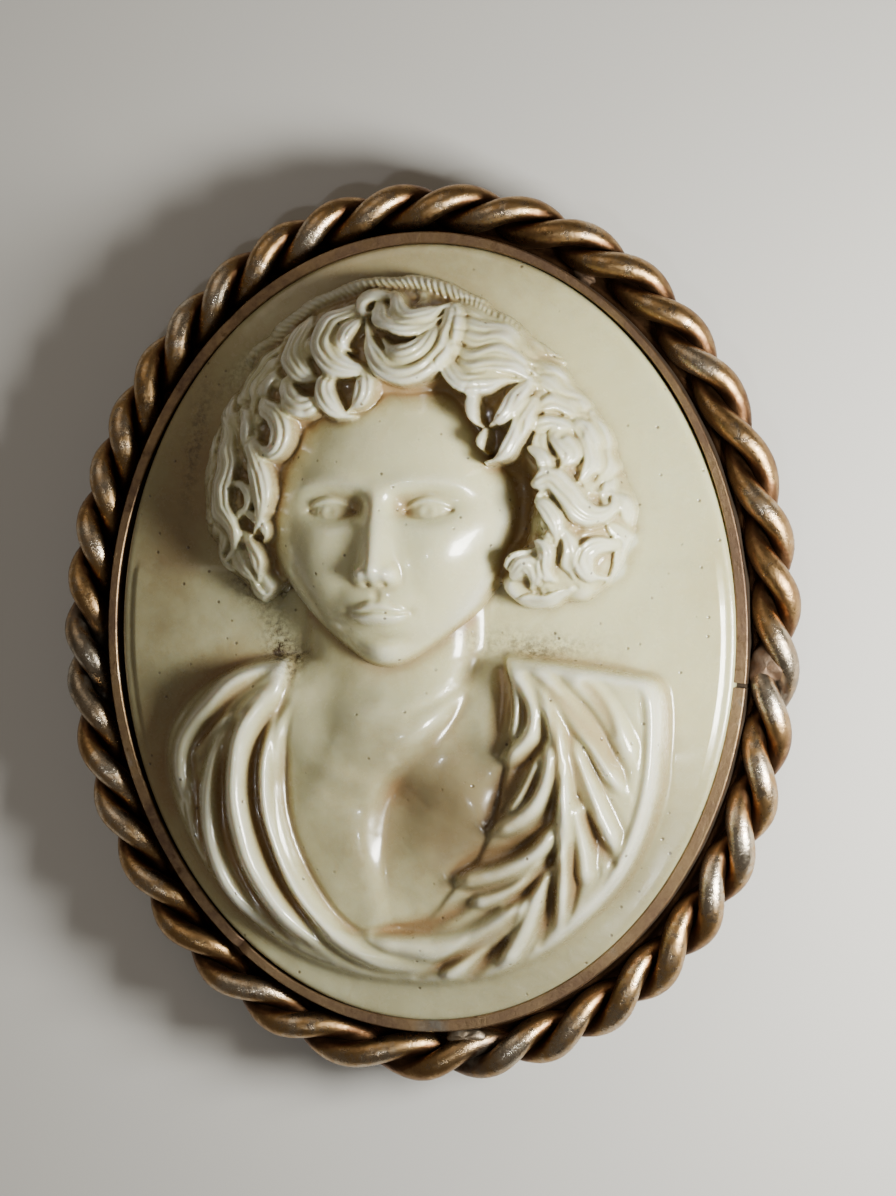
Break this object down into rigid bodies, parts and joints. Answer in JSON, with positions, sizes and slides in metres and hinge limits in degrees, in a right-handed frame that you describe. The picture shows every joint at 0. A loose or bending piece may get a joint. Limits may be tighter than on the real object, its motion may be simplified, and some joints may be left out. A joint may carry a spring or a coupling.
{
  "type": "cameo brooch",
  "caption": "Oval cameo brooch: a high-relief cream bust on a domed stone, held in a deep brass bezel with a soldered border of two twisted wires, pin and catch behind.",
  "frame": {"origin": "middle of the oval at the bottom edge of the bezel, where the brooch rests on its back", "axes": "+Z out of the carved face, +Y to the top of the head, +X to the viewer's right"},
  "size_m": [0.0474, 0.0566, 0.0153],
  "materials": {
    "stone": "glossy cream with brown in its hollows",
    "brass": "worn gilding, brown in its hollows",
    "pin": "satin, tarnished"
  },
  "bodies": {
    "root": {"cameo": "stone", "frame": "brass", "pin": "pin"}
  },
  "joints": []
}
